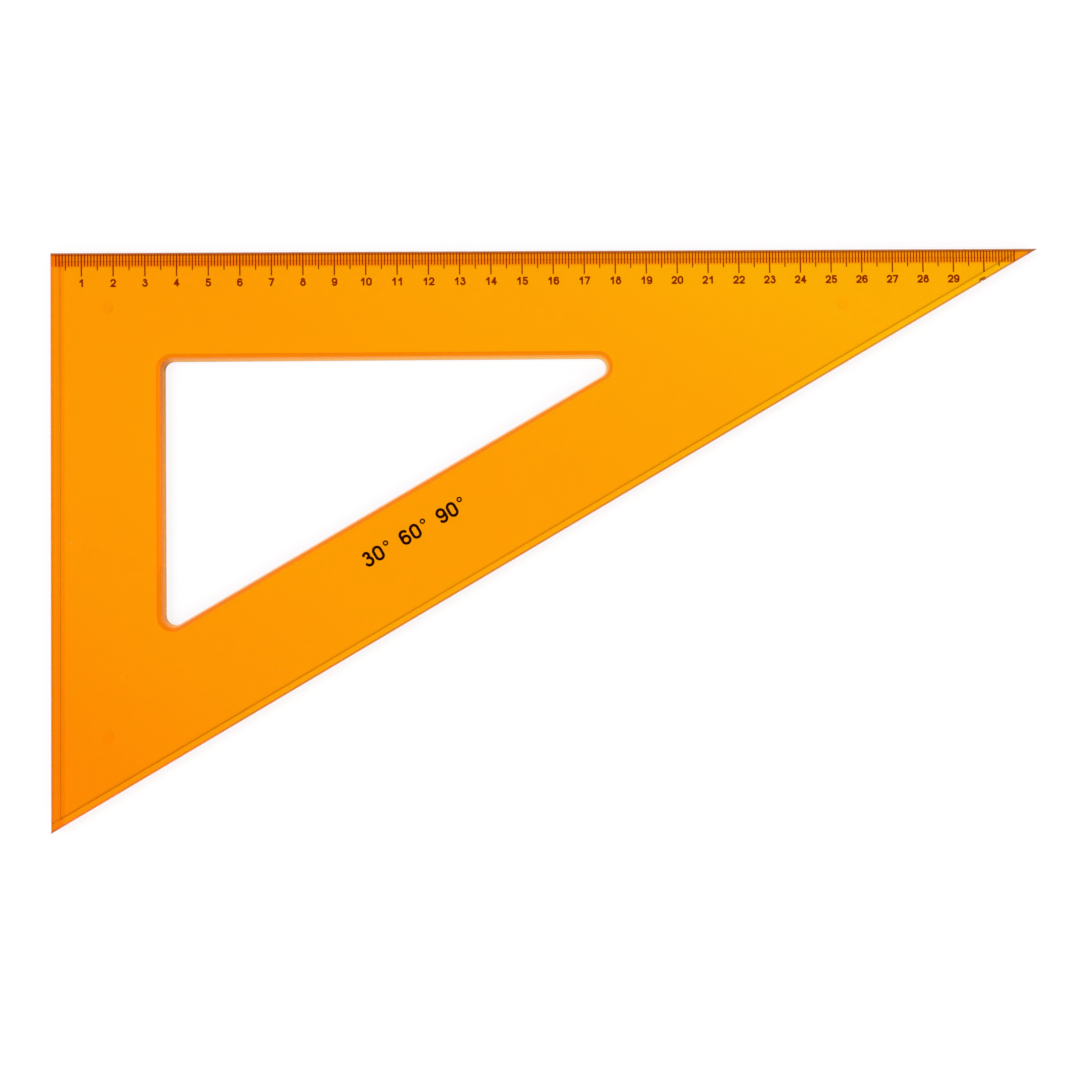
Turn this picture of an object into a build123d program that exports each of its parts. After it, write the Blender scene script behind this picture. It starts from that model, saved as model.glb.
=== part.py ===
"""Drafting set square, thirty-sixty-ninety degrees, graduated along its long leg.

The square lies flat with its marks facing up.  +X runs along the graduated leg, from
the right angle to the thin tip, +Y points at the graduated edge and +Z points up.
The origin is at the middle of the overall box, on the surface the square lies on.
All sizes are in millimetres.
"""
import os
from math import acos, atan2, cos, degrees, floor, hypot, radians, sin, tan

from build123d import *

# ---- Plate -----------------------------------------------------------------------
long_leg = 318.0
tip_angle = 30.0
plate_thickness = 3.0
short_band_width = 35.3      # solid band between the short leg and the cutout
scale_band_width = 34.5      # solid band that carries the scale
slanted_band_width = 36.6    # solid band between the slanted edge and the cutout
cutout_corner_radius = 3.0
cutout_draft = 18.0          # degrees by which its walls lean back towards the top face
cutout_bevel_width = 1.0     # finger bevel round the top of the cutout
cutout_bevel_depth = 0.55    # down the leaning wall
edge_bevel = 0.5             # narrow bevel along the outer top edges
gate_distance = 20.6         # from the thin tip, along the slanted edge, to the gate scar
gate_width = 1.8             # shallow notch where the moulding was cut from its runner
gate_depth = 0.3

# ---- Ink edge: a rebate that holds the drawing edges off wet ink --------------------
ink_edge_width = 2.4
ink_edge_rise = 0.4
ink_edge_fillet = 0.25

# ---- Ink nubs: moulded pads that the square rests on --------------------------------
nub_diameter = 4.6           # where a nub meets the underside
nub_pad_diameter = 3.0       # flat pad at the foot of a nub
nub_height = 0.3
nub_inset = 17.0             # from both nearest outer edges to the centre of a nub

# ---- Graduation ---------------------------------------------------------------------
tick_pitch = 1.0
ticks_per_label = 10
first_tick = 2               # the first pitch that carries a mark
edge_margin = 0.15           # bare strip between the bevel and the marks
tip_clearance = 0.3          # bare strip between the marks and the slanted edge
shortest_mark = 3.4          # a mark is left out where the slanted edge cuts it shorter
short_tick_length = 3.8
middle_tick_length = 5.1
long_tick_length = 7.0
short_tick_width = 0.34
middle_tick_width = 0.36
long_tick_width = 0.42
foil_thickness = 0.04        # stamped marking foil, on the top face

# ---- Numerals under the long ticks ---------------------------------------------------
numeral_height = 2.65
numeral_width = 1.85
numeral_pen = 0.57
numeral_gap = 0.12
numeral_drop = 0.8           # from the foot of a long tick to the top of its numeral

# ---- Figures for the three angles, along the slanted band ------------------------------
figure_height = 5.0
figure_width = 3.3
figure_pen = 0.90
figure_gap = 0.5
figure_spacing = 13.6        # from the middle of one figure to the next
figure_distance = 146.5      # from the lower tip to the middle figure
figure_clearance = 10.4      # from the cutout to the head of the figures
degree_radius = 0.65
degree_pen = 0.5

# ---- Worked out from the values above --------------------------------------------------
slope = tan(radians(tip_angle))
short_leg = long_leg * slope
slanted_leg = long_leg / cos(radians(tip_angle))
inradius = (long_leg + short_leg - slanted_leg) / 2

underside = nub_height
lip_underside = underside + ink_edge_rise
top_face = underside + plate_thickness

bevel_height = cutout_bevel_depth * cos(radians(cutout_draft))
bevel_run = cutout_bevel_width + cutout_bevel_depth * sin(radians(cutout_draft))
bevel_lean = degrees(atan2(bevel_run, bevel_height))
bevel_foot = (plate_thickness - bevel_height) * tan(radians(cutout_draft))

left_edge = -long_leg / 2
scale_edge = short_leg / 2
mark_start = scale_edge - edge_bevel - edge_margin
incentre = Vector(left_edge + inradius, scale_edge - inradius)
right_angle_corner = Vector(left_edge, scale_edge)
lower_tip = Vector(left_edge, scale_edge - short_leg)
thin_tip = Vector(left_edge + long_leg, scale_edge)


def inset_corners(inset: float) -> list[Vector]:
    """Corners of the outline after all three edges move inwards by the inset."""
    shrink = 1 - inset / inradius
    corners = (right_angle_corner, lower_tip, thin_tip)
    return [incentre + (corner - incentre) * shrink for corner in corners]


def cutout_corners() -> list[Vector]:
    """Corners of the cutout at the underside, from the widths of the three bands."""
    left = left_edge + short_band_width
    top = scale_edge - scale_band_width
    rise = slanted_band_width / cos(radians(tip_angle))
    return [Vector(left, top), Vector(left, slope * left + rise), Vector((top - rise) / slope, top)]


def last_mark(length: float, width: float) -> int:
    """Number of the last mark of this size that clears the slanted edge."""
    foot = scale_edge - mark_start + length + tip_clearance
    reach = long_leg - foot / slope - width / 2
    return floor(reach / tick_pitch)


def mark_numbers(step: int, width: float) -> list[int]:
    """Numbers of every step-th mark that fits, counted from the right angle."""
    numbers = range(step, last_mark(shortest_mark, width) + 1, step)
    return [number for number in numbers if number >= first_tick]


def draw_marks(numbers: list[int], length: float, width: float) -> None:
    """Draws the numbered marks of the scale in the open sketch, cut at the slanted edge."""
    middle = mark_start - length / 2
    with Locations([(left_edge + number * tick_pitch, middle) for number in numbers]):
        Rectangle(width, length)
    add(mark_field.sketch, mode=Mode.INTERSECT)


def pen_arc(centre: tuple[float, float], radius: float, start: float, sweep: float) -> Edge:
    """Round stroke of a pen, clockwise for a negative sweep."""
    return CenterArc(centre, radius, start, sweep, mode=Mode.PRIVATE)


def pen_line(*points: tuple[float, float]) -> Wire:
    """Straight strokes of a pen from point to point."""
    return Polyline(*points, mode=Mode.PRIVATE)


def digit_strokes(value: int, half: float, tall: float) -> list[Edge | Wire]:
    """Strokes of a digit that stands on y = 0 and reaches half to each side of x = 0.

    Round strokes are given by their start and sweep in degrees, and the bare fractions
    are the proportions of the digit itself.
    """
    low = (0, half)
    high = (0, tall - half)
    small = (tall - 2 * half) / 2
    upper = (0, tall - small)
    stem = 0.4 * half
    match value:
        case 0:
            left_side = pen_line((-half, half), (-half, tall - half))
            right_side = pen_line((half, half), (half, tall - half))
            bends = [pen_arc(low, half, 180, 180), pen_arc(high, half, 0, 180)]
            return [left_side, right_side, *bends]
        case 1:
            return [pen_line((stem - half, tall - half), (stem, tall), (stem, 0))]
        case 2:
            touch = atan2(half - tall, -half) + acos(half / hypot(half, tall - half))
            neck = (half * cos(touch), tall - half + half * sin(touch))
            hook = pen_arc(high, half, 165, degrees(touch) - 165)
            return [hook, pen_line(neck, (-half, 0), (half, 0))]
        case 3:
            return [pen_arc(upper, small, 150, -240), pen_arc(low, half, 90, -250)]
        case 4:
            bar = 0.3 * tall
            sail = pen_line((half, bar), (-half, bar), (stem, tall))
            return [sail, pen_line((stem, tall), (stem, 0))]
        case 5:
            side = half * cos(radians(135))
            shoulder = (side, half + half * sin(radians(135)))
            flag = pen_line((0.8 * half, tall), (side, tall), shoulder)
            return [flag, pen_arc(low, half, 135, -290)]
        case 6 | 9:
            bowl = [pen_arc(low, half, 0, 180), pen_arc(low, half, 180, 180)]
            back = pen_line((-half, half), (-half, tall - half))
            return [*bowl, back, pen_arc(high, half, 180, -145)]
        case 7:
            return [pen_line((-half, tall), (half, tall), (-0.35 * half, 0))]
        case _:
            lower_ring = [pen_arc(low, half, 0, 180), pen_arc(low, half, 180, 180)]
            upper_ring = [pen_arc(upper, small, 0, 180), pen_arc(upper, small, 180, 180)]
            return [*lower_ring, *upper_ring]


def draw_digit(value: int, height: float, width: float, pen: float) -> Sketch:
    """Digit drawn with a round pen, centred on the origin."""
    tall = height - pen
    strokes = digit_strokes(value, (width - pen) / 2, tall)
    with BuildSketch() as shape:
        with Locations((0, -tall / 2)):
            for stroke in strokes:
                SlotArc(stroke, pen)
    if value == 9:
        return shape.sketch.rotate(Axis.Z, 180)
    return shape.sketch


def spread_digits(number: int, centre: tuple[float, float], step: float) -> list[tuple]:
    """Digits of a whole number, each with its place in a row about the centre."""
    digits = [int(character) for character in str(number)]
    start = centre[0] - (len(digits) - 1) / 2 * step
    return [(digit, (start + place * step, centre[1])) for place, digit in enumerate(digits)]


# ---- Plate: one moulding with its cutout, ink edge, gate scar and nubs -----------------
along_slope = Vector(cos(radians(tip_angle)), sin(radians(tip_angle)))
gate_place = thin_tip - along_slope * gate_distance + Vector(0, 0, underside)
gate_plane = Plane(gate_place, x_dir=along_slope, z_dir=(0, 0, 1))
seated = (Align.CENTER, Align.CENTER, Align.MIN)

with BuildSketch() as cutout_outline:
    with BuildLine():
        Polyline(*cutout_corners(), close=True)
    make_face()
    fillet(cutout_outline.vertices(), cutout_corner_radius)

with BuildPart() as plate:
    with BuildSketch(Plane.XY.offset(underside)):
        with BuildLine():
            Polyline(*inset_corners(ink_edge_width), close=True)
        make_face()
    extrude(amount=ink_edge_rise)

    with BuildSketch(Plane.XY.offset(lip_underside)):
        with BuildLine():
            Polyline(*inset_corners(0), close=True)
        make_face()
    extrude(amount=plate_thickness - ink_edge_rise)
    chamfer(plate.edges().group_by(Axis.Z)[-1], edge_bevel)

    lip_edges = plate.edges().filter_by_position(Axis.Z, lip_underside, lip_underside)
    fillet(lip_edges.sort_by_distance(incentre)[:3], ink_edge_fillet)

    with BuildSketch(Plane.XY.offset(underside)):
        add(cutout_outline.sketch)
    extrude(amount=plate_thickness, taper=-cutout_draft, mode=Mode.SUBTRACT)

    with BuildSketch(Plane.XY.offset(top_face - bevel_height)):
        add(cutout_outline.sketch)
        offset(amount=bevel_foot)
    extrude(amount=bevel_height, taper=-bevel_lean, mode=Mode.SUBTRACT)

    with BuildSketch(gate_plane):
        Rectangle(gate_width, 2 * gate_depth)
    extrude(amount=plate_thickness, mode=Mode.SUBTRACT)

    with Locations(inset_corners(nub_inset)):
        Cone(nub_pad_diameter / 2, nub_diameter / 2, nub_height, align=seated)
plate.part.label = "plate"

# ---- Graduation marks: stamped foil on the top face ------------------------------------
ticks_per_half = ticks_per_label // 2
long_marks = mark_numbers(ticks_per_label, long_tick_width)
half_marks = mark_numbers(ticks_per_half, middle_tick_width)
middle_marks = [number for number in half_marks if number % ticks_per_label]
all_marks = mark_numbers(1, short_tick_width)
short_marks = [number for number in all_marks if number % ticks_per_half]

with BuildSketch() as mark_field:
    with BuildLine():
        Polyline(*inset_corners(tip_clearance), close=True)
    make_face()

with BuildPart() as millimetre_ticks:
    with BuildSketch(Plane.XY.offset(top_face)):
        draw_marks(short_marks, short_tick_length, short_tick_width)
    extrude(amount=foil_thickness)
millimetre_ticks.part.label = "millimetre_ticks"

with BuildPart() as half_centimetre_ticks:
    with BuildSketch(Plane.XY.offset(top_face)):
        draw_marks(middle_marks, middle_tick_length, middle_tick_width)
    extrude(amount=foil_thickness)
half_centimetre_ticks.part.label = "half_centimetre_ticks"

with BuildPart() as centimetre_ticks:
    with BuildSketch(Plane.XY.offset(top_face)):
        draw_marks(long_marks, long_tick_length, long_tick_width)
    extrude(amount=foil_thickness)
centimetre_ticks.part.label = "centimetre_ticks"

# ---- Numerals: the number of each long tick, under it ------------------------------------
numeral_top = mark_start - long_tick_length - numeral_drop
numeral_middle = numeral_top - numeral_height / 2
widest_numeral = 2 * numeral_width + numeral_gap
last_numeral = last_mark(mark_start - numeral_top + numeral_height, widest_numeral)

numeral_places = []
for number in range(ticks_per_label, last_numeral + 1, ticks_per_label):
    centre = (left_edge + number * tick_pitch, numeral_middle)
    numeral_places += spread_digits(number // ticks_per_label, centre, numeral_width + numeral_gap)
numerals = [draw_digit(n, numeral_height, numeral_width, numeral_pen) for n in range(10)]

with BuildPart() as scale_numerals:
    with BuildSketch(Plane.XY.offset(top_face)):
        for value, numeral in enumerate(numerals):
            with Locations([place for digit, place in numeral_places if digit == value]):
                add(numeral)
    extrude(amount=foil_thickness)
scale_numerals.part.label = "scale_numerals"

# ---- Angle figures: the three angles of the square, along the slanted band -----------------
band_plane = Plane(lower_tip + Vector(0, 0, top_face), x_dir=along_slope, z_dir=(0, 0, 1))
figure_step = figure_width + figure_gap
figure_head = slanted_band_width - figure_clearance
figure_middle = figure_head - figure_height / 2
degree_height = figure_head - degree_radius - degree_pen / 2

figure_places = []
degree_places = []
for place, angle in enumerate((tip_angle, 90 - tip_angle, 90)):
    middle = figure_distance + (place - 1) * figure_spacing
    centre = (middle - figure_step / 2, figure_middle)
    figure_places += spread_digits(round(angle), centre, figure_step)
    degree_places.append((middle + figure_step - figure_gap / 2, degree_height))
figures = [draw_digit(n, figure_height, figure_width, figure_pen) for n in range(10)]

with BuildPart() as angle_figures:
    with BuildSketch(band_plane):
        for digit, place in figure_places:
            with Locations(place):
                add(figures[digit])
        with Locations(degree_places):
            Circle(degree_radius + degree_pen / 2)
            Circle(degree_radius - degree_pen / 2, mode=Mode.SUBTRACT)
    extrude(amount=foil_thickness)
angle_figures.part.label = "angle_figures"

# ---- One file for each piece -----------------------------------------------------------
os.makedirs("parts", exist_ok=True)
export_step(plate.part, "parts/plate.step")
export_step(millimetre_ticks.part, "parts/millimetre_ticks.step")
export_step(half_centimetre_ticks.part, "parts/half_centimetre_ticks.step")
export_step(centimetre_ticks.part, "parts/centimetre_ticks.step")
export_step(scale_numerals.part, "parts/scale_numerals.step")
export_step(angle_figures.part, "parts/angle_figures.step")
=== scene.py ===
"""Studio scene of a see-through drafting set square that lies on a pale table.

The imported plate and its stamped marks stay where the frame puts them.  This script gives
each of them its finish and adds the table, the studio light and the camera.  In the plane
of the plate, +X runs along the graduated leg and +Y points at the graduated edge.
Lengths are in metres and angles in degrees, unless a name says otherwise.
"""
import logging
from dataclasses import dataclass, field
from enum import Enum
from math import hypot, radians

import bpy
from mathutils import Matrix, Vector


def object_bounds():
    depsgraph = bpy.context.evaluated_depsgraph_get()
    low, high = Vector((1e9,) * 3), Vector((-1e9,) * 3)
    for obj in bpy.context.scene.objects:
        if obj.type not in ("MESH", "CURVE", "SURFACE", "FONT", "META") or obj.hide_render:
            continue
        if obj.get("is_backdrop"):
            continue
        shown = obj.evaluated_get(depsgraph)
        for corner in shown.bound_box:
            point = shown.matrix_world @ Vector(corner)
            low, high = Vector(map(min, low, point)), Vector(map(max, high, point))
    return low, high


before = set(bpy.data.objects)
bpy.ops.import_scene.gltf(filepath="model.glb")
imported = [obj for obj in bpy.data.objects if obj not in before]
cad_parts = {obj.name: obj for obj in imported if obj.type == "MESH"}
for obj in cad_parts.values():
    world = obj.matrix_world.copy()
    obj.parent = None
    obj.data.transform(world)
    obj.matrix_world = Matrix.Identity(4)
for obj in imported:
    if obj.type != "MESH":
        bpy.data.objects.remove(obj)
CAD_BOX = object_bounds()
MILLIMETRE = 0.001
NOISE_MIDDLE = 0.5
BLACK = (0, 0, 0, 1)
WHITE = (1, 1, 1, 1)
log = logging.getLogger("set_square")

Socket = bpy.types.NodeSocket
Tree = bpy.types.NodeTree
Colour = tuple[float, float, float, float]
Triple = tuple[float, float, float]
Range = tuple[float, float]


class Mark(Enum):
    """Groups of stamped marks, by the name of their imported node."""

    MILLIMETRES = "millimetre_ticks"
    HALF_CENTIMETRES = "half_centimetre_ticks"
    CENTIMETRES = "centimetre_ticks"
    NUMERALS = "scale_numerals"
    ANGLES = "angle_figures"


class Blend(Enum):
    """Ways that a mask changes a colour."""

    MIX = "MIX"
    MULTIPLY = "MULTIPLY"


# ---- Small helpers for node trees -------------------------------------------------------


def new_material(name: str) -> tuple[bpy.types.Material, Tree]:
    """Makes an empty node material.

    Args:
        name: Name of the material.

    Returns:
        The material and its node tree.
    """
    material = bpy.data.materials.new(name)
    material.use_nodes = True
    material.node_tree.nodes.clear()
    return material, material.node_tree


def add_node(tree: Tree, kind: str, **settings) -> bpy.types.Node:
    """Adds a node and sets its properties.

    Args:
        tree: Node tree that gets the node.
        kind: Blender's type name of the node.
        **settings: Properties of the node, by name.

    Returns:
        The new node.
    """
    node = tree.nodes.new(kind)
    for name, value in settings.items():
        setattr(node, name, value)
    return node


def feed(tree: Tree, target: Socket, value: Socket | float | tuple) -> None:
    """Links a socket to the target, or writes a plain value on it.

    Args:
        tree: Node tree that both sockets are in.
        target: Input socket that gets the value.
        value: Output socket or plain value.
    """
    if isinstance(value, bpy.types.NodeSocket):
        tree.links.new(value, target)
    else:
        target.default_value = value


def calculate(
    tree: Tree, operation: str, first: Socket | float, second: Socket | float = 0.0
) -> Socket:
    """Adds a Math node.

    Args:
        tree: Node tree that gets the node.
        operation: Blender's name of the operation.
        first: First value.
        second: Second value, where the operation has one.

    Returns:
        The result.
    """
    node = add_node(tree, "ShaderNodeMath", operation=operation)
    feed(tree, node.inputs[0], first)
    feed(tree, node.inputs[1], second)
    return node.outputs[0]


def ramp(
    tree: Tree, value: Socket, start: float, end: float, low: float = 0.0, high: float = 1.0
) -> Socket:
    """Maps a value smoothly from one range to another, and clamps it.

    Args:
        tree: Node tree that gets the node.
        value: The value that is mapped.
        start: Value that gives the low result.
        end: Value that gives the high result.
        low: Result at the start.
        high: Result at the end.

    Returns:
        The mapped value.
    """
    node = add_node(tree, "ShaderNodeMapRange", interpolation_type="SMOOTHSTEP")
    feed(tree, node.inputs["Value"], value)
    node.inputs["From Min"].default_value = start
    node.inputs["From Max"].default_value = end
    node.inputs["To Min"].default_value = low
    node.inputs["To Max"].default_value = high
    return node.outputs["Result"]


def blend(
    tree: Tree, how: Blend, mask: Socket, under: Socket | Colour, over: Socket | Colour
) -> Socket:
    """Lays one colour over another through a mask.

    Args:
        tree: Node tree that gets the node.
        how: Way that the colours combine.
        mask: How much of the upper colour shows.
        under: Lower colour.
        over: Upper colour.

    Returns:
        The combined colour.
    """
    node = add_node(tree, "ShaderNodeMix", data_type="RGBA", blend_type=how.value)
    feed(tree, node.inputs[0], mask)
    colours = [socket for socket in node.inputs if socket.type == "RGBA"]
    feed(tree, colours[0], under)
    feed(tree, colours[1], over)
    return next(socket for socket in node.outputs if socket.type == "RGBA")


def largest(tree: Tree, values: tuple[Socket, ...]) -> Socket:
    """Adds Math nodes that pick the largest of some values."""
    most = values[0]
    for value in values[1:]:
        most = calculate(tree, "MAXIMUM", most, value)
    return most


def smallest(tree: Tree, values: tuple[Socket, ...]) -> Socket:
    """Adds Math nodes that pick the smallest of some values."""
    least = values[0]
    for value in values[1:]:
        least = calculate(tree, "MINIMUM", least, value)
    return least


def along(tree: Tree, place: Socket, direction: Triple) -> Socket:
    """Distance of a place from the origin, along a direction.

    Args:
        tree: Node tree that gets the node.
        place: The place, or a direction to compare.
        direction: Direction that the distance is measured along.

    Returns:
        The distance.
    """
    node = add_node(tree, "ShaderNodeVectorMath", operation="DOT_PRODUCT")
    feed(tree, node.inputs[0], place)
    feed(tree, node.inputs[1], direction)
    return node.outputs["Value"]


def height_of(tree: Tree, place: Socket) -> Socket:
    """Height of a place over the table, or how far a direction points upwards."""
    return along(tree, place, (0, 0, 1))


def turned(tree: Tree, place: Socket, angle: float, stretch: Triple) -> Socket:
    """Turns a pattern about Z and stretches it.

    Args:
        tree: Node tree that gets the node.
        place: Place on the surface.
        angle: Turn of the pattern.
        stretch: Scale of the pattern on each axis.

    Returns:
        The place in the pattern.
    """
    node = add_node(tree, "ShaderNodeMapping")
    feed(tree, node.inputs["Vector"], place)
    node.inputs["Rotation"].default_value = (0, 0, radians(angle))
    node.inputs["Scale"].default_value = stretch
    return node.outputs["Vector"]


def noise(tree: Tree, place: Socket, scale: float, detail: float = 2.0) -> Socket:
    """Adds a Noise texture.

    Args:
        tree: Node tree that gets the node.
        place: Place on the surface.
        scale: How many waves fit in a metre.
        detail: How many finer layers are added.

    Returns:
        The noise, from 0 to 1.
    """
    node = add_node(tree, "ShaderNodeTexNoise")
    feed(tree, node.inputs["Vector"], place)
    node.inputs["Scale"].default_value = scale
    node.inputs["Detail"].default_value = detail
    return node.outputs[0]


# ---- Wear that the plate and the foils share --------------------------------------------


@dataclass
class DeskWear:
    """Node group with the fine marks that a desk leaves on a drawing tool.

    It puts out masks for hairline scratches, for dust and for a slow unevenness.
    """

    name: str = "desk_wear"
    # Hairline scratches: half a line's width in noise, the ways they run, their broken patches.
    hairline: float = 0.006
    scratch_angles: tuple[float, ...] = (12.0, 74.0, -38.0)
    scratch_stretch: Triple = (16.0, 420.0, 16.0)
    patch_scale: float = 34.0
    patch_range: Range = (0.52, 0.66)
    # Dust specks in small cells, and slow clouds of unevenness.
    speck_scale: float = 420.0
    speck_range: Range = (0.16, 0.07)
    unevenness_scale: float = 22.0
    unevenness_detail: float = 3.0
    tree: Tree | None = field(default=None, init=False)

    def build(self) -> None:
        """Builds the group once."""
        tree = bpy.data.node_groups.new(self.name, "ShaderNodeTree")
        interface = tree.interface
        interface.new_socket("Place", in_out="INPUT", socket_type="NodeSocketVector")
        interface.new_socket("Scratch Amount", in_out="INPUT", socket_type="NodeSocketFloat")
        interface.new_socket("Dust Amount", in_out="INPUT", socket_type="NodeSocketFloat")
        interface.new_socket("Scratches", in_out="OUTPUT", socket_type="NodeSocketFloat")
        interface.new_socket("Dust", in_out="OUTPUT", socket_type="NodeSocketFloat")
        interface.new_socket("Unevenness", in_out="OUTPUT", socket_type="NodeSocketFloat")
        given = add_node(tree, "NodeGroupInput")
        result = add_node(tree, "NodeGroupOutput")
        place = given.outputs["Place"]
        lines = tuple(self.hairlines(tree, place, angle) for angle in self.scratch_angles)
        strength = given.outputs["Scratch Amount"]
        scratches = calculate(tree, "MULTIPLY", largest(tree, lines), strength)
        feed(tree, result.inputs["Scratches"], scratches)
        feed(tree, result.inputs["Dust"], self.specks(tree, place, given.outputs["Dust Amount"]))
        uneven = noise(tree, place, self.unevenness_scale, self.unevenness_detail)
        feed(tree, result.inputs["Unevenness"], uneven)
        self.tree = tree

    def hairlines(self, tree: Tree, place: Socket, angle: float) -> Socket:
        """Mask of long thin scratches that run one way and fade in and out.

        Args:
            tree: The group's node tree.
            place: Place on the surface.
            angle: Direction of the scratches.

        Returns:
            The mask.
        """
        value = noise(tree, turned(tree, place, angle, self.scratch_stretch), 1.0, 1.0)
        offset = calculate(tree, "SUBTRACT", value, NOISE_MIDDLE)
        offset = calculate(tree, "ABSOLUTE", offset)
        line = ramp(tree, offset, self.hairline, 0.0)
        clouds = noise(tree, turned(tree, place, angle, (1.0, 1.0, 1.0)), self.patch_scale)
        return calculate(tree, "MULTIPLY", line, ramp(tree, clouds, *self.patch_range))

    def specks(self, tree: Tree, place: Socket, amount: Socket) -> Socket:
        """Mask of small dust specks.

        Args:
            tree: The group's node tree.
            place: Place on the surface.
            amount: Share of the cells that carry a speck.

        Returns:
            The mask.
        """
        cells = add_node(tree, "ShaderNodeTexVoronoi", feature="F1")
        feed(tree, cells.inputs["Vector"], place)
        cells.inputs["Scale"].default_value = self.speck_scale
        dot = ramp(tree, cells.outputs["Distance"], *self.speck_range)
        parts = add_node(tree, "ShaderNodeSeparateColor")
        feed(tree, parts.inputs["Color"], cells.outputs["Color"])
        chosen = calculate(tree, "LESS_THAN", parts.outputs[0], amount)
        return calculate(tree, "MULTIPLY", dot, chosen)

    def place_in(
        self, tree: Tree, place: Socket, scratches: float, dust: float
    ) -> bpy.types.Node:
        """Puts the group in a material.

        Args:
            tree: The material's node tree.
            place: Place on the surface.
            scratches: Strength of the scratches.
            dust: Share of the small cells that carry dust.

        Returns:
            The group's node.
        """
        node = add_node(tree, "ShaderNodeGroup", node_tree=self.tree)
        feed(tree, node.inputs["Place"], place)
        node.inputs["Scratch Amount"].default_value = scratches
        node.inputs["Dust Amount"].default_value = dust
        return node


# ---- Finishes ---------------------------------------------------------------------------


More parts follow.
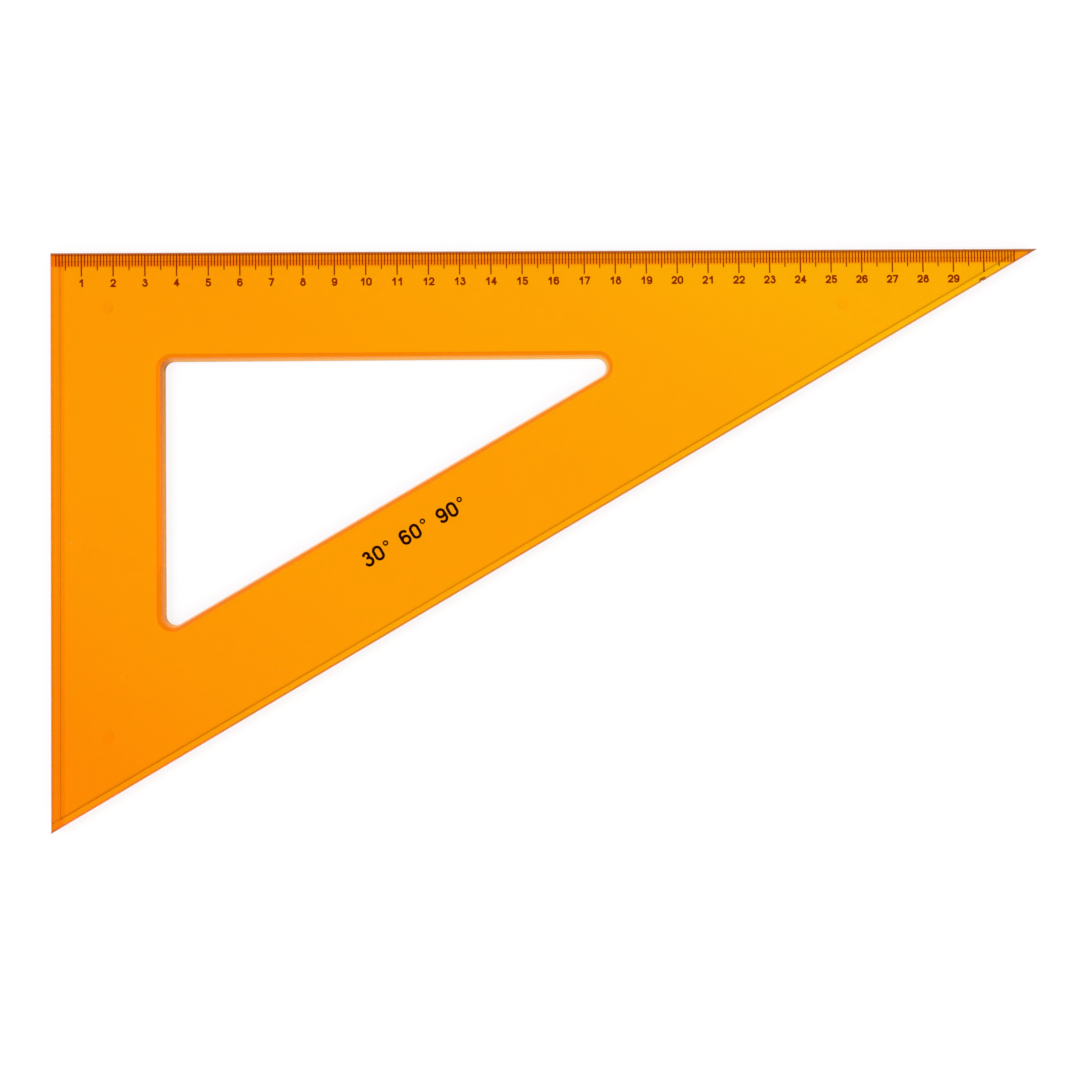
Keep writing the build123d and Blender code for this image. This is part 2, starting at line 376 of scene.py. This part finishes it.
@dataclass(frozen=True)
class TintedAcrylic:
    """Clear orange acrylic that takes its colour from the depth of the plate.

    The tint deepens towards the lower tip.  The strips over the ink edge and under the short
    marks are a shade redder, as painted shade where the ink edge and the marks shade the
    table.  The walls are satin, and they and the bevels are browner than the polished faces,
    which is painted shade.  The walls of the cutout are darker along their lower rim, which is
    painted shade, a painted dark line of shade runs along each outer edge, and the outer walls
    glow a little, as painted light for the light that the plate gathers.
    """

    name: str = "orange_acrylic"
    # The clear acrylic, and how much of each colour it swallows per metre.
    refraction: float = 1.49
    polish: float = 0.015
    red_per_metre: float = 4.0
    green_per_metre: float = 246.0
    blue_per_metre: float = 2400.0
    # Tint of the body: the way it fades, where the fade starts and ends, and its steps.
    tint_slope: Triple = (0.3, 0.5, 0)
    tint_range: Range = (-0.081, 0.064)
    tint_steps: tuple[tuple[float, float], ...] = (
        (0.0, 0.62),
        (0.19, 0.725),
        (0.36, 0.773),
        (0.63, 0.79),
        (0.78, 0.854),
        (0.86, 0.883),
        (1.0, 1.0),
    )
    cloud_tint: Colour = (1.0, 0.97, 0.9, 1)
    cloud_range: Range = (0.35, 0.7)
    cloud_share: float = 0.5
    # Painted shade: redder strips over the short leg's ink edge and under the scale's short
    # marks.
    short_strip_shade_tint: Colour = (0.985, 0.74, 0.70, 1)
    short_strip_width: float = 3.7 * MILLIMETRE
    scale_strip_shade_tint: Colour = (0.985, 0.62, 0.80, 1)
    scale_strip_width: float = 4.3 * MILLIMETRE
    strip_softness: float = 0.25 * MILLIMETRE
    # Walls, the lower rim of the cutout's walls, and bevels, all tinted with painted shade.
    # A facing is the upright share of the surface's direction where a mask starts and where
    # it is full.
    wall_shade_tint: Colour = (0.95, 0.66, 0.35, 1)
    wall_roughness: float = 0.25
    wall_facing: Range = (0.8, 0.6)
    wall_floor: float = 0.75 * MILLIMETRE
    cutout_margin: float = 25.0 * MILLIMETRE
    rim_shade_tint: Colour = (0.70, 0.66, 0.60, 1)
    rim_top: float = 1.0 * MILLIMETRE
    bevel_shade_tint: Colour = (0.93, 0.42, 0.35, 1)
    bevel_facing: Range = (0.99, 0.95)
    bevel_floor: float = 2.5 * MILLIMETRE
    # Painted shade in the ink edge's inner corner and in dark lines along the outer edges,
    # and the painted glow of the outer walls.
    rebate_shade_tint: Colour = (0.70, 0.60, 0.85, 1)
    rebate_place: float = 2.6 * MILLIMETRE
    rebate_width: float = 0.60 * MILLIMETRE
    edge_shade_tint: Colour = (0.31, 0.25, 0.50, 1)
    edge_shade_width: float = 0.62 * MILLIMETRE
    edge_shade_softness: float = 0.1 * MILLIMETRE
    edge_shade_shares: Triple = (0.3, 1.0, 0.7)
    painted_glow_colour: Colour = (0.16, 0.035, 0.0, 1)
    # Scar of the moulding gate.
    scar_tint: Colour = (0.20, 0.10, 0.02, 1)
    scar_place: Triple = (141.0 * MILLIMETRE, 81.7 * MILLIMETRE, 0)
    scar_radius: float = 0.95 * MILLIMETRE
    scar_fade: float = 1.4
    scar_grain: float = 900.0
    scar_raggedness: float = 0.4 * MILLIMETRE
    # Scratches, dust, finger smears and the slight waves of the moulding.
    scratches: float = 0.5
    scratch_roughness: float = 0.12
    scratch_depth: float = 0.02
    dust: float = 0.012
    dust_tint: Colour = (0.9, 0.85, 0.8, 1)
    dust_roughness: float = 0.4
    smear_range: Range = (0.4, 0.8)
    smear_factor: float = 2.5
    wave_scale: float = 28.0
    wave_height: float = 0.5
    bump_strength: float = 0.25
    bump_distance: float = 0.1 * MILLIMETRE

    def material(self, wear: DeskWear) -> bpy.types.Material:
        """Builds the material.

        Args:
            wear: Group with the scratches and the dust.

        Returns:
            The finished material.
        """
        material, tree = new_material(self.name)
        output = add_node(tree, "ShaderNodeOutputMaterial")
        surface = add_node(tree, "ShaderNodeBsdfPrincipled")
        surface.inputs["IOR"].default_value = self.refraction
        surface.inputs["Transmission Weight"].default_value = 1.0
        feed(tree, output.inputs["Surface"], surface.outputs["BSDF"])
        where = add_node(tree, "ShaderNodeTexCoord")
        place = where.outputs["Object"]
        worn = wear.place_in(tree, place, self.scratches, self.dust)
        inward = smallest(tree, self.from_edges(tree, place))
        in_cutout = calculate(tree, "GREATER_THAN", inward, self.cutout_margin)
        walls = self.walls(tree, place, where.outputs["Normal"], in_cutout)
        bevels = self.bevels(tree, place, where.outputs["Normal"])
        feed(tree, surface.inputs["Base Color"], self.tint(tree, place, walls, bevels, worn))
        feed(tree, surface.inputs["Roughness"], self.roughness(tree, walls, worn))
        feed(tree, surface.inputs["Normal"], self.ripple(tree, place, worn))
        # Painted light: the outer walls glow a little.
        feed(tree, surface.inputs["Emission Color"], self.painted_edge_glow(tree, walls, in_cutout))
        surface.inputs["Emission Strength"].default_value = 1.0
        self.depth(tree, output)
        return material

    def walls(self, tree: Tree, place: Socket, normal: Socket, in_cutout: Socket) -> Socket:
        """Mask of the steep walls, without the sides of the nubs and of the ink edge.

        Args:
            tree: The material's node tree.
            place: Place on the surface.
            normal: Direction that the surface faces.
            in_cutout: Mask of the part of the plate round the cutout.

        Returns:
            The mask.
        """
        upright = calculate(tree, "ABSOLUTE", height_of(tree, normal))
        above = calculate(tree, "GREATER_THAN", height_of(tree, place), self.wall_floor)
        counted = calculate(tree, "MAXIMUM", above, in_cutout)
        return calculate(tree, "MULTIPLY", ramp(tree, upright, *self.wall_facing), counted)

    def bevels(self, tree: Tree, place: Socket, normal: Socket) -> Socket:
        """Mask of the bevels along the top face, which are neither flat nor steep.

        Args:
            tree: The material's node tree.
            place: Place on the surface.
            normal: Direction that the surface faces.

        Returns:
            The mask.
        """
        upright = calculate(tree, "ABSOLUTE", height_of(tree, normal))
        on_top = calculate(tree, "GREATER_THAN", height_of(tree, place), self.bevel_floor)
        not_flat = ramp(tree, upright, *self.bevel_facing)
        not_steep = ramp(tree, upright, *reversed(self.wall_facing))
        slanted = calculate(tree, "MULTIPLY", not_flat, not_steep)
        return calculate(tree, "MULTIPLY", slanted, on_top)

    def tint(
        self, tree: Tree, place: Socket, walls: Socket, bevels: Socket, worn: bpy.types.Node
    ) -> Socket:
        """Colour that the surface gives to the light that crosses it.

        Args:
            tree: The material's node tree.
            place: Place on the surface.
            walls: Mask of the steep walls.
            bevels: Mask of the bevels along the top face.
            worn: The wear group's node.

        Returns:
            The colour.
        """
        short, graduated, slanted = self.from_edges(tree, place)
        # Painted shade: the strips over the ink edge and under the short marks are redder.
        short_strip_shade = self.border(tree, short, self.short_strip_width, self.strip_softness)
        scale_strip_shade = self.border(tree, graduated, self.scale_strip_width, self.strip_softness)
        colour = self.body(tree, place, worn)
        colour = blend(tree, Blend.MULTIPLY, short_strip_shade, colour, self.short_strip_shade_tint)
        colour = blend(tree, Blend.MULTIPLY, scale_strip_shade, colour, self.scale_strip_shade_tint)
        # Painted shade: the steep walls are tinted browner.
        colour = blend(tree, Blend.MULTIPLY, walls, colour, self.wall_shade_tint)
        # Painted shade: the cutout's walls are darker along their lower rim.
        low = ramp(tree, height_of(tree, place), self.rim_top, self.wall_floor)
        rim_shade = calculate(tree, "MULTIPLY", walls, low)
        colour = blend(tree, Blend.MULTIPLY, rim_shade, colour, self.rim_shade_tint)
        # Painted shade: the bevels along the top face are tinted browner.
        colour = blend(tree, Blend.MULTIPLY, bevels, colour, self.bevel_shade_tint)
        # Painted shade in the inner corner of the ink edge.
        rebate_shade = self.rebate_shade(tree, place, slanted)
        colour = blend(tree, Blend.MULTIPLY, rebate_shade, colour, self.rebate_shade_tint)
        # Painted shade: dark lines along the three outer edges.
        lines = self.edge_shade_lines(tree, (short, graduated, slanted))
        colour = blend(tree, Blend.MULTIPLY, lines, colour, self.edge_shade_tint)
        colour = blend(tree, Blend.MULTIPLY, worn.outputs["Dust"], colour, self.dust_tint)
        return blend(tree, Blend.MIX, self.scar(tree, place), colour, self.scar_tint)

    def body(self, tree: Tree, place: Socket, worn: bpy.types.Node) -> Socket:
        """Tint of the polished faces, deeper towards the lower tip and a little cloudy.

        Args:
            tree: The material's node tree.
            place: Place on the surface.
            worn: The wear group's node.

        Returns:
            The colour.
        """
        reach = add_node(tree, "ShaderNodeMapRange")
        feed(tree, reach.inputs["Value"], along(tree, place, self.tint_slope))
        reach.inputs["From Min"].default_value = self.tint_range[0]
        reach.inputs["From Max"].default_value = self.tint_range[1]
        steps = add_node(tree, "ShaderNodeValToRGB")
        feed(tree, steps.inputs["Fac"], reach.outputs["Result"])
        elements = steps.color_ramp.elements
        elements.remove(elements[0])
        for at, level in self.tint_steps:
            step = elements[-1] if at == 1.0 else elements.new(at)
            step.color = (1.0, level, level, 1)
        cloudy = ramp(tree, worn.outputs["Unevenness"], *self.cloud_range, 0.0, self.cloud_share)
        return blend(tree, Blend.MULTIPLY, cloudy, steps.outputs["Color"], self.cloud_tint)

    def from_edges(self, tree: Tree, place: Socket) -> tuple[Socket, Socket, Socket]:
        """Distances of a place from the short, the graduated and the slanted edge.

        Args:
            tree: The material's node tree.
            place: Place on the surface.

        Returns:
            The three distances, which grow inwards.
        """
        (left, low, _), (right, top, _) = CAD_BOX
        length = hypot(right - left, top - low)
        inward = ((low - top) / length, (right - left) / length, 0)
        short = calculate(tree, "SUBTRACT", along(tree, place, (1, 0, 0)), left)
        graduated = calculate(tree, "SUBTRACT", top, along(tree, place, (0, 1, 0)))
        edge = left * inward[0] + low * inward[1]
        slanted = calculate(tree, "SUBTRACT", along(tree, place, inward), edge)
        return short, graduated, slanted

    def border(
        self, tree: Tree, distance: Socket, width: float, softness: float, share: float = 1.0
    ) -> Socket:
        """Mask of a strip along an edge.

        Args:
            tree: The material's node tree.
            distance: Distance from the edge.
            width: Width of the strip.
            softness: Half the width over which the strip fades out.
            share: Strength of the mask inside the strip.

        Returns:
            The mask.
        """
        return ramp(tree, distance, width + softness, width - softness, 0.0, share)

    def rebate_shade(self, tree: Tree, place: Socket, distance: Socket) -> Socket:
        """Mask of the painted shade in the inner corner of the ink edge, under the slanted edge.

        Args:
            tree: The material's node tree.
            place: Place on the surface.
            distance: Distance from the slanted edge.

        Returns:
            The mask.
        """
        offset = calculate(tree, "SUBTRACT", distance, self.rebate_place)
        offset = calculate(tree, "ABSOLUTE", offset)
        below = calculate(tree, "LESS_THAN", height_of(tree, place), self.bevel_floor)
        return calculate(tree, "MULTIPLY", ramp(tree, offset, self.rebate_width, 0.0), below)

    def edge_shade_lines(self, tree: Tree, distances: tuple[Socket, Socket, Socket]) -> Socket:
        """Mask of the painted dark lines of shade along the three outer edges.

        Args:
            tree: The material's node tree.
            distances: Distances from the short, the graduated and the slanted edge.

        Returns:
            The mask.
        """
        width, softness = self.edge_shade_width, self.edge_shade_softness
        lines = tuple(
            self.border(tree, distance, width, softness, share)
            for distance, share in zip(distances, self.edge_shade_shares)
        )
        return largest(tree, lines)

    def scar(self, tree: Tree, place: Socket) -> Socket:
        """Mask of the dark scar where the moulding was cut from its runner.

        Args:
            tree: The material's node tree.
            place: Place on the surface.

        Returns:
            The mask.
        """
        flat = turned(tree, place, 0, (1.0, 1.0, 0.0))
        node = add_node(tree, "ShaderNodeVectorMath", operation="DISTANCE")
        feed(tree, node.inputs[0], flat)
        node.inputs[1].default_value = self.scar_place
        grain = noise(tree, place, self.scar_grain)
        ragged = calculate(tree, "MULTIPLY", grain, self.scar_raggedness)
        distance = calculate(tree, "ADD", node.outputs["Value"], ragged)
        return ramp(tree, distance, self.scar_radius * self.scar_fade, self.scar_radius)

    def roughness(self, tree: Tree, walls: Socket, worn: bpy.types.Node) -> Socket:
        """Polish of the faces, with scratches and dust, and satin walls.

        Args:
            tree: The material's node tree.
            walls: Mask of the steep walls.
            worn: The wear group's node.

        Returns:
            The roughness.
        """
        smeared = self.polish * self.smear_factor
        rough = ramp(tree, worn.outputs["Unevenness"], *self.smear_range, self.polish, smeared)
        scratched = calculate(tree, "MULTIPLY", worn.outputs["Scratches"], self.scratch_roughness)
        rough = calculate(tree, "ADD", rough, scratched)
        dusty = calculate(tree, "MULTIPLY", worn.outputs["Dust"], self.dust_roughness)
        rough = calculate(tree, "ADD", rough, dusty)
        satin = calculate(tree, "MULTIPLY", walls, self.wall_roughness)
        return calculate(tree, "MAXIMUM", rough, satin)

    def painted_edge_glow(self, tree: Tree, walls: Socket, in_cutout: Socket) -> Socket:
        """Painted glow of the outer walls, for the light that the plate gathers and lets out.

        Args:
            tree: The material's node tree.
            walls: Mask of the steep walls.
            in_cutout: Mask of the part of the plate round the cutout.

        Returns:
            The colour, which is black everywhere else.
        """
        from_inside = add_node(tree, "ShaderNodeNewGeometry").outputs["Backfacing"]
        dark = calculate(tree, "MAXIMUM", from_inside, in_cutout)
        lit = calculate(tree, "MULTIPLY", walls, calculate(tree, "SUBTRACT", 1.0, dark))
        return blend(tree, Blend.MIX, lit, BLACK, self.painted_glow_colour)

    def ripple(self, tree: Tree, place: Socket, worn: bpy.types.Node) -> Socket:
        """Slight waves of the moulding and the depth of the scratches.

        Args:
            tree: The material's node tree.
            place: Place on the surface.
            worn: The wear group's node.

        Returns:
            The bent normal.
        """
        waves = noise(tree, place, self.wave_scale, 1.0)
        waves = calculate(tree, "MULTIPLY", waves, self.wave_height)
        grooves = calculate(tree, "MULTIPLY", worn.outputs["Scratches"], self.scratch_depth)
        height = calculate(tree, "SUBTRACT", waves, grooves)
        bump = add_node(tree, "ShaderNodeBump")
        bump.inputs["Strength"].default_value = self.bump_strength
        bump.inputs["Distance"].default_value = self.bump_distance
        feed(tree, bump.inputs["Height"], height)
        return bump.outputs["Normal"]

    def depth(self, tree: Tree, output: bpy.types.Node) -> None:
        """Absorbs light inside the plate, blue the most and red hardly at all.

        Args:
            tree: The material's node tree.
            output: The material's output node.
        """
        absorb = add_node(tree, "ShaderNodeVolumeAbsorption")
        losses = (self.red_per_metre, self.green_per_metre, self.blue_per_metre)
        density = max(losses)
        absorb.inputs["Density"].default_value = density
        absorb.inputs["Color"].default_value = (*[1 - loss / density for loss in losses], 1)
        feed(tree, output.inputs["Volume"], absorb.outputs["Volume"])


@dataclass(frozen=True)
class StampedFoil:
    """Hot stamped marking foil, a little uneven in its cover and gloss."""

    name: str
    colour: Colour
    thin_colour: Colour
    # Cover of the foil, where it is thin, and its gloss.
    thin_range: Range = (0.52, 0.72)
    thin_share: float = 0.7
    roughness: float = 0.55
    roughness_spread: float = 0.08
    matte_range: Range = (0.3, 0.7)
    specular_level: float = 0.04
    # Grain of the stamping, scratches and dust.
    grain_scale: float = 2600.0
    grain_detail: float = 3.0
    grain_strength: float = 0.3
    grain_depth: float = 0.01 * MILLIMETRE
    scratches: float = 0.8
    dust: float = 0.006
    dust_colour: Colour = (0.45, 0.22, 0.10, 1)

    def material(self, wear: DeskWear) -> bpy.types.Material:
        """Builds the material.

        Args:
            wear: Group with the scratches and the dust.

        Returns:
            The finished material.
        """
        material, tree = new_material(self.name)
        output = add_node(tree, "ShaderNodeOutputMaterial")
        surface = add_node(tree, "ShaderNodeBsdfPrincipled")
        surface.inputs["Specular IOR Level"].default_value = self.specular_level
        feed(tree, output.inputs["Surface"], surface.outputs["BSDF"])
        place = add_node(tree, "ShaderNodeTexCoord").outputs["Object"]
        worn = wear.place_in(tree, place, self.scratches, self.dust)
        grain = noise(tree, place, self.grain_scale, self.grain_detail)
        thin = ramp(tree, grain, *self.thin_range, 0.0, self.thin_share)
        colour = blend(tree, Blend.MIX, thin, self.colour, self.thin_colour)
        colour = blend(tree, Blend.MIX, worn.outputs["Scratches"], colour, self.thin_colour)
        colour = blend(tree, Blend.MIX, worn.outputs["Dust"], colour, self.dust_colour)
        feed(tree, surface.inputs["Base Color"], colour)
        least = self.roughness - self.roughness_spread
        most = self.roughness + self.roughness_spread
        matte = ramp(tree, worn.outputs["Unevenness"], *self.matte_range, least, most)
        feed(tree, surface.inputs["Roughness"], matte)
        bump = add_node(tree, "ShaderNodeBump")
        bump.inputs["Strength"].default_value = self.grain_strength
        bump.inputs["Distance"].default_value = self.grain_depth
        feed(tree, bump.inputs["Height"], grain)
        feed(tree, surface.inputs["Normal"], bump.outputs["Normal"])
        return material


def dress(node: str, material: bpy.types.Material) -> None:
    """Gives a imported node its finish.

    Args:
        node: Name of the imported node.
        material: Finish of the whole node.
    """
    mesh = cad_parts[node].data
    mesh.materials.clear()
    mesh.materials.append(material)
    log.info("%s wears %s", node, material.name)


# ---- Pieces of the square ---------------------------------------------------------------


@dataclass
class Plate:
    """The one moulding: plate, cutout, ink edge and nubs."""

    node: str = "plate"
    finish: TintedAcrylic = field(default_factory=TintedAcrylic)

    def build(self, wear: DeskWear) -> None:
        """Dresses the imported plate."""
        dress(self.node, self.finish.material(wear))


@dataclass
class Graduation:
    """The scale: its marks of three lengths and its numerals, in one foil."""

    marks: tuple[Mark, ...] = (
        Mark.MILLIMETRES,
        Mark.HALF_CENTIMETRES,
        Mark.CENTIMETRES,
        Mark.NUMERALS,
    )
    finish: StampedFoil = StampedFoil("scale_foil", (0.41, 0.018, 0.0, 1), (0.55, 0.07, 0.002, 1))

    def build(self, wear: DeskWear) -> None:
        """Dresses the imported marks."""
        foil = self.finish.material(wear)
        for mark in self.marks:
            dress(mark.value, foil)


@dataclass
class AngleFigures:
    """The figures of the three angles, in darker foil."""

    mark: Mark = Mark.ANGLES
    finish: StampedFoil = StampedFoil(
        "figure_foil", (0.030, 0.0015, 0.001, 1), (0.07, 0.006, 0.001, 1)
    )

    def build(self, wear: DeskWear) -> None:
        """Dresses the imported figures."""
        dress(self.mark.value, self.finish.material(wear))


# ---- Studio -----------------------------------------------------------------------------


@dataclass
class Lamp:
    """Soft lamp far away, given by where it stands over the table."""

    name: str
    azimuth: float
    elevation: float
    power: float
    spread: float

    def build(self) -> None:
        """Adds the lamp, which is too soft to be mirrored as a disc."""
        data = bpy.data.lights.new(self.name, "SUN")
        data.energy = self.power
        data.angle = radians(self.spread)
        lamp = bpy.data.objects.new(self.name, data)
        bpy.context.scene.collection.objects.link(lamp)
        turn = Matrix.Rotation(radians(self.azimuth), 4, "Z")
        tilt = Matrix.Rotation(radians(90 - self.elevation), 4, "Y")
        lamp.matrix_world = turn @ tilt
        lamp.visible_glossy = False


@dataclass
class Studio:
    """Pale table, soft light and camera."""

    # The table, and its glow where it is seen in the open and through the plate.
    table_side: float = 8.0
    table_drop: float = 0.02 * MILLIMETRE
    table_colour: float = 0.32
    table_glow: float = 0.81
    table_glow_through: float = 0.95
    # The sky: its strengths low down and overhead, and where one fades into the other.
    horizon: float = 0.8
    zenith: float = 0.012
    sky_fade: Range = (0.30, 0.75)
    lamps: tuple[Lamp, ...] = (
        Lamp("key_lamp", azimuth=170, elevation=42, power=1.2, spread=30),
        Lamp("fill_lamp", azimuth=-50, elevation=40, power=0.8, spread=40),
    )
    mirror_bounces: int = 8
    # The camera: lens and film in millimetres, where it stands and how it is turned.
    lens: float = 30.0
    film_width: float = 36.0
    near_clip: float = 10.0 * MILLIMETRE
    eye: Triple = (-10.7 * MILLIMETRE, -7.0 * MILLIMETRE, 290.6 * MILLIMETRE)
    turns: tuple[tuple[float, str], ...] = ((-0.70, "Z"), (-1.262, "Y"), (1.157, "X"))

    def build(self) -> None:
        """Builds the whole studio."""
        self.table()
        self.sky()
        for lamp in self.lamps:
            lamp.build()
        self.camera()
        self.bounces()
        log.info("studio has a table, a sky, %d lamps and a camera", len(self.lamps))

    def table(self) -> None:
        """Makes the table top, a hair under the nubs so that no faces coincide."""
        bpy.ops.object.select_all(action="DESELECT")
        bpy.ops.mesh.primitive_plane_add(size=self.table_side, location=(0, 0, -self.table_drop))
        bpy.ops.object.transform_apply(location=True, rotation=True, scale=True)
        table = bpy.context.active_object
        table.name = "table_top"
        material, tree = new_material("pale_table")
        output = add_node(tree, "ShaderNodeOutputMaterial")
        matte = add_node(tree, "ShaderNodeBsdfDiffuse")
        matte.inputs["Color"].default_value = (*[self.table_colour] * 3, 1)
        glow = add_node(tree, "ShaderNodeEmission")
        feed(tree, glow.inputs["Strength"], self.seen(tree))
        both = add_node(tree, "ShaderNodeAddShader")
        feed(tree, both.inputs[0], matte.outputs["BSDF"])
        feed(tree, both.inputs[1], glow.outputs["Emission"])
        feed(tree, output.inputs["Surface"], both.outputs["Shader"])
        table.data.materials.append(material)
        table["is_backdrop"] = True

    def seen(self, tree: Tree) -> Socket:
        """Glow of the table where it is seen, mirrored or seen through the plate, and else 0.

        Args:
            tree: Node tree that gets the nodes.

        Returns:
            The strength of the glow.
        """
        path = add_node(tree, "ShaderNodeLightPath")
        camera, mirror = path.outputs["Is Camera Ray"], path.outputs["Is Glossy Ray"]
        plate = path.outputs["Is Transmission Ray"]
        open_glow = calculate(tree, "MAXIMUM", camera, mirror)
        open_glow = calculate(tree, "MULTIPLY", open_glow, self.table_glow)
        through = calculate(tree, "MULTIPLY", plate, self.table_glow_through)
        return calculate(tree, "MAXIMUM", open_glow, through)

    def sky(self) -> None:
        """Lights the scene from all round, bright at the horizon and dim overhead.

        The camera itself sees the sky as plain white.
        """
        world = bpy.data.worlds.new("studio")
        bpy.context.scene.world = world
        world.use_nodes = True
        tree = world.node_tree
        tree.nodes.clear()
        output = add_node(tree, "ShaderNodeOutputWorld")
        direction = add_node(tree, "ShaderNodeTexCoord").outputs["Generated"]
        fade = ramp(tree, height_of(tree, direction), *self.sky_fade, self.horizon, self.zenith)
        path = add_node(tree, "ShaderNodeLightPath")
        light = add_node(tree, "ShaderNodeBackground")
        light.inputs["Color"].default_value = WHITE
        strength = calculate(tree, "MAXIMUM", fade, path.outputs["Is Camera Ray"])
        feed(tree, light.inputs["Strength"], strength)
        feed(tree, output.inputs["Surface"], light.outputs["Background"])

    def camera(self) -> None:
        """Adds the camera, nearly straight above the middle of the plate."""
        data = bpy.data.cameras.new("camera")
        data.lens = self.lens
        data.sensor_width = self.film_width
        data.clip_start = self.near_clip
        camera = bpy.data.objects.new("camera", data)
        bpy.context.scene.collection.objects.link(camera)
        pose = Matrix.Translation(Vector(self.eye))
        for angle, axis in self.turns:
            pose = pose @ Matrix.Rotation(radians(angle), 4, axis)
        camera.matrix_world = pose
        bpy.context.scene.camera = camera

    def bounces(self) -> None:
        """Lets light be mirrored to and fro inside the plate until it finds its way out."""
        bpy.context.scene.cycles.glossy_bounces = self.mirror_bounces


def main() -> None:
    """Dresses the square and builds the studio."""
    logging.basicConfig(level=logging.INFO, format="%(name)s: %(message)s")
    wear = DeskWear()
    wear.build()
    for piece in (Plate(), Graduation(), AngleFigures()):
        piece.build(wear)
    Studio().build()
    bpy.context.scene.view_settings.view_transform = "Standard"
    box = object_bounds()
    low, high = [tuple(round(value, 5) for value in corner) for corner in box]
    log.info("the square measures %s to %s", low, high)


if __name__ == "__main__":
    main()
